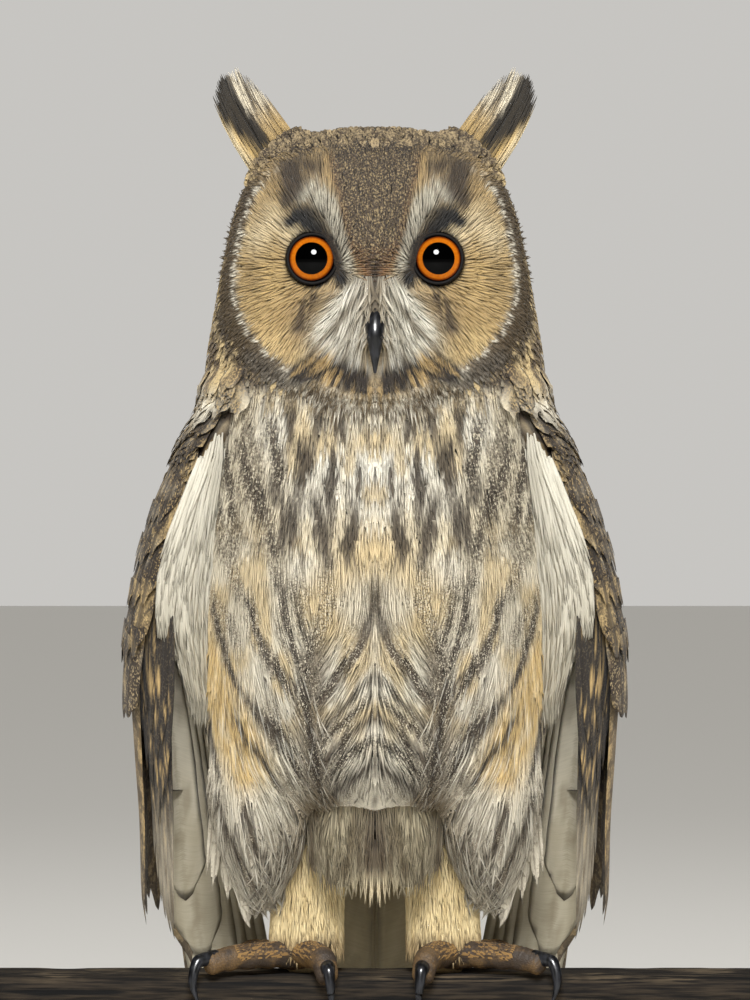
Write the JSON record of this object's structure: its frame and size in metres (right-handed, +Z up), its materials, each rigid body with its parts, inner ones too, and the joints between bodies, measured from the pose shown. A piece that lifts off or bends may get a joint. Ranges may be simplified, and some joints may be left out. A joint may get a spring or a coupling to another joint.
{
  "type": "long eared owl on a perch, life-size model",
  "caption": "Life-size long eared owl sitting upright, facing forward, its claws round a short timber perch held by a plain display stand.",
  "frame": {"origin": "centre of the display base's underside, on the surface that the part rests on", "axes": "+Z up, -Y the way the owl faces, +X towards the owl's left"},
  "size_m": [0.284, 0.1565, 0.4291],
  "materials": {
    "head_feathers": "soft buff, white, black and brown feathers",
    "body_feathers": "soft cream and buff feathers with dark brown streaks",
    "wing_feathers": "grey-brown feathers with buff and dark bars",
    "tail_feathers": "grey-brown feathers with narrow dark bars",
    "leg_feathers": "plain cream-buff down",
    "eye": "wet gloss, orange iris round a black pupil",
    "horn": "satin to gloss black horn",
    "toe_skin": "scaly ochre skin, feathered above",
    "perch_timber": "rough, weathered, dark brown-black",
    "base_wood": "satin dark stain",
    "rod_steel": "brushed"
  },
  "bodies": {
    "root": {"head": "head_feathers", "neck": "body_feathers", "torso": "body_feathers", "tail": "tail_feathers", "ear_tuft_left": "head_feathers", "ear_tuft_right": "head_feathers", "eye_left": "eye", "eye_right": "eye", "bill_upper": "horn", "bill_lower": "horn", "wing_left": "wing_feathers", "wing_right": "wing_feathers", "leg_left": "leg_feathers", "leg_right": "leg_feathers", "foot_left": "toe_skin", "foot_right": "toe_skin", "claw_inner_left": "horn", "claw_inner_right": "horn", "claw_middle_left": "horn", "claw_middle_right": "horn", "claw_outer_left": "horn", "claw_outer_right": "horn", "claw_hind_left": "horn", "claw_hind_right": "horn", "stand_perch": "perch_timber", "stand_base": "base_wood", "stand_rod_left": "rod_steel", "stand_rod_right": "rod_steel"}
  },
  "joints": []
}
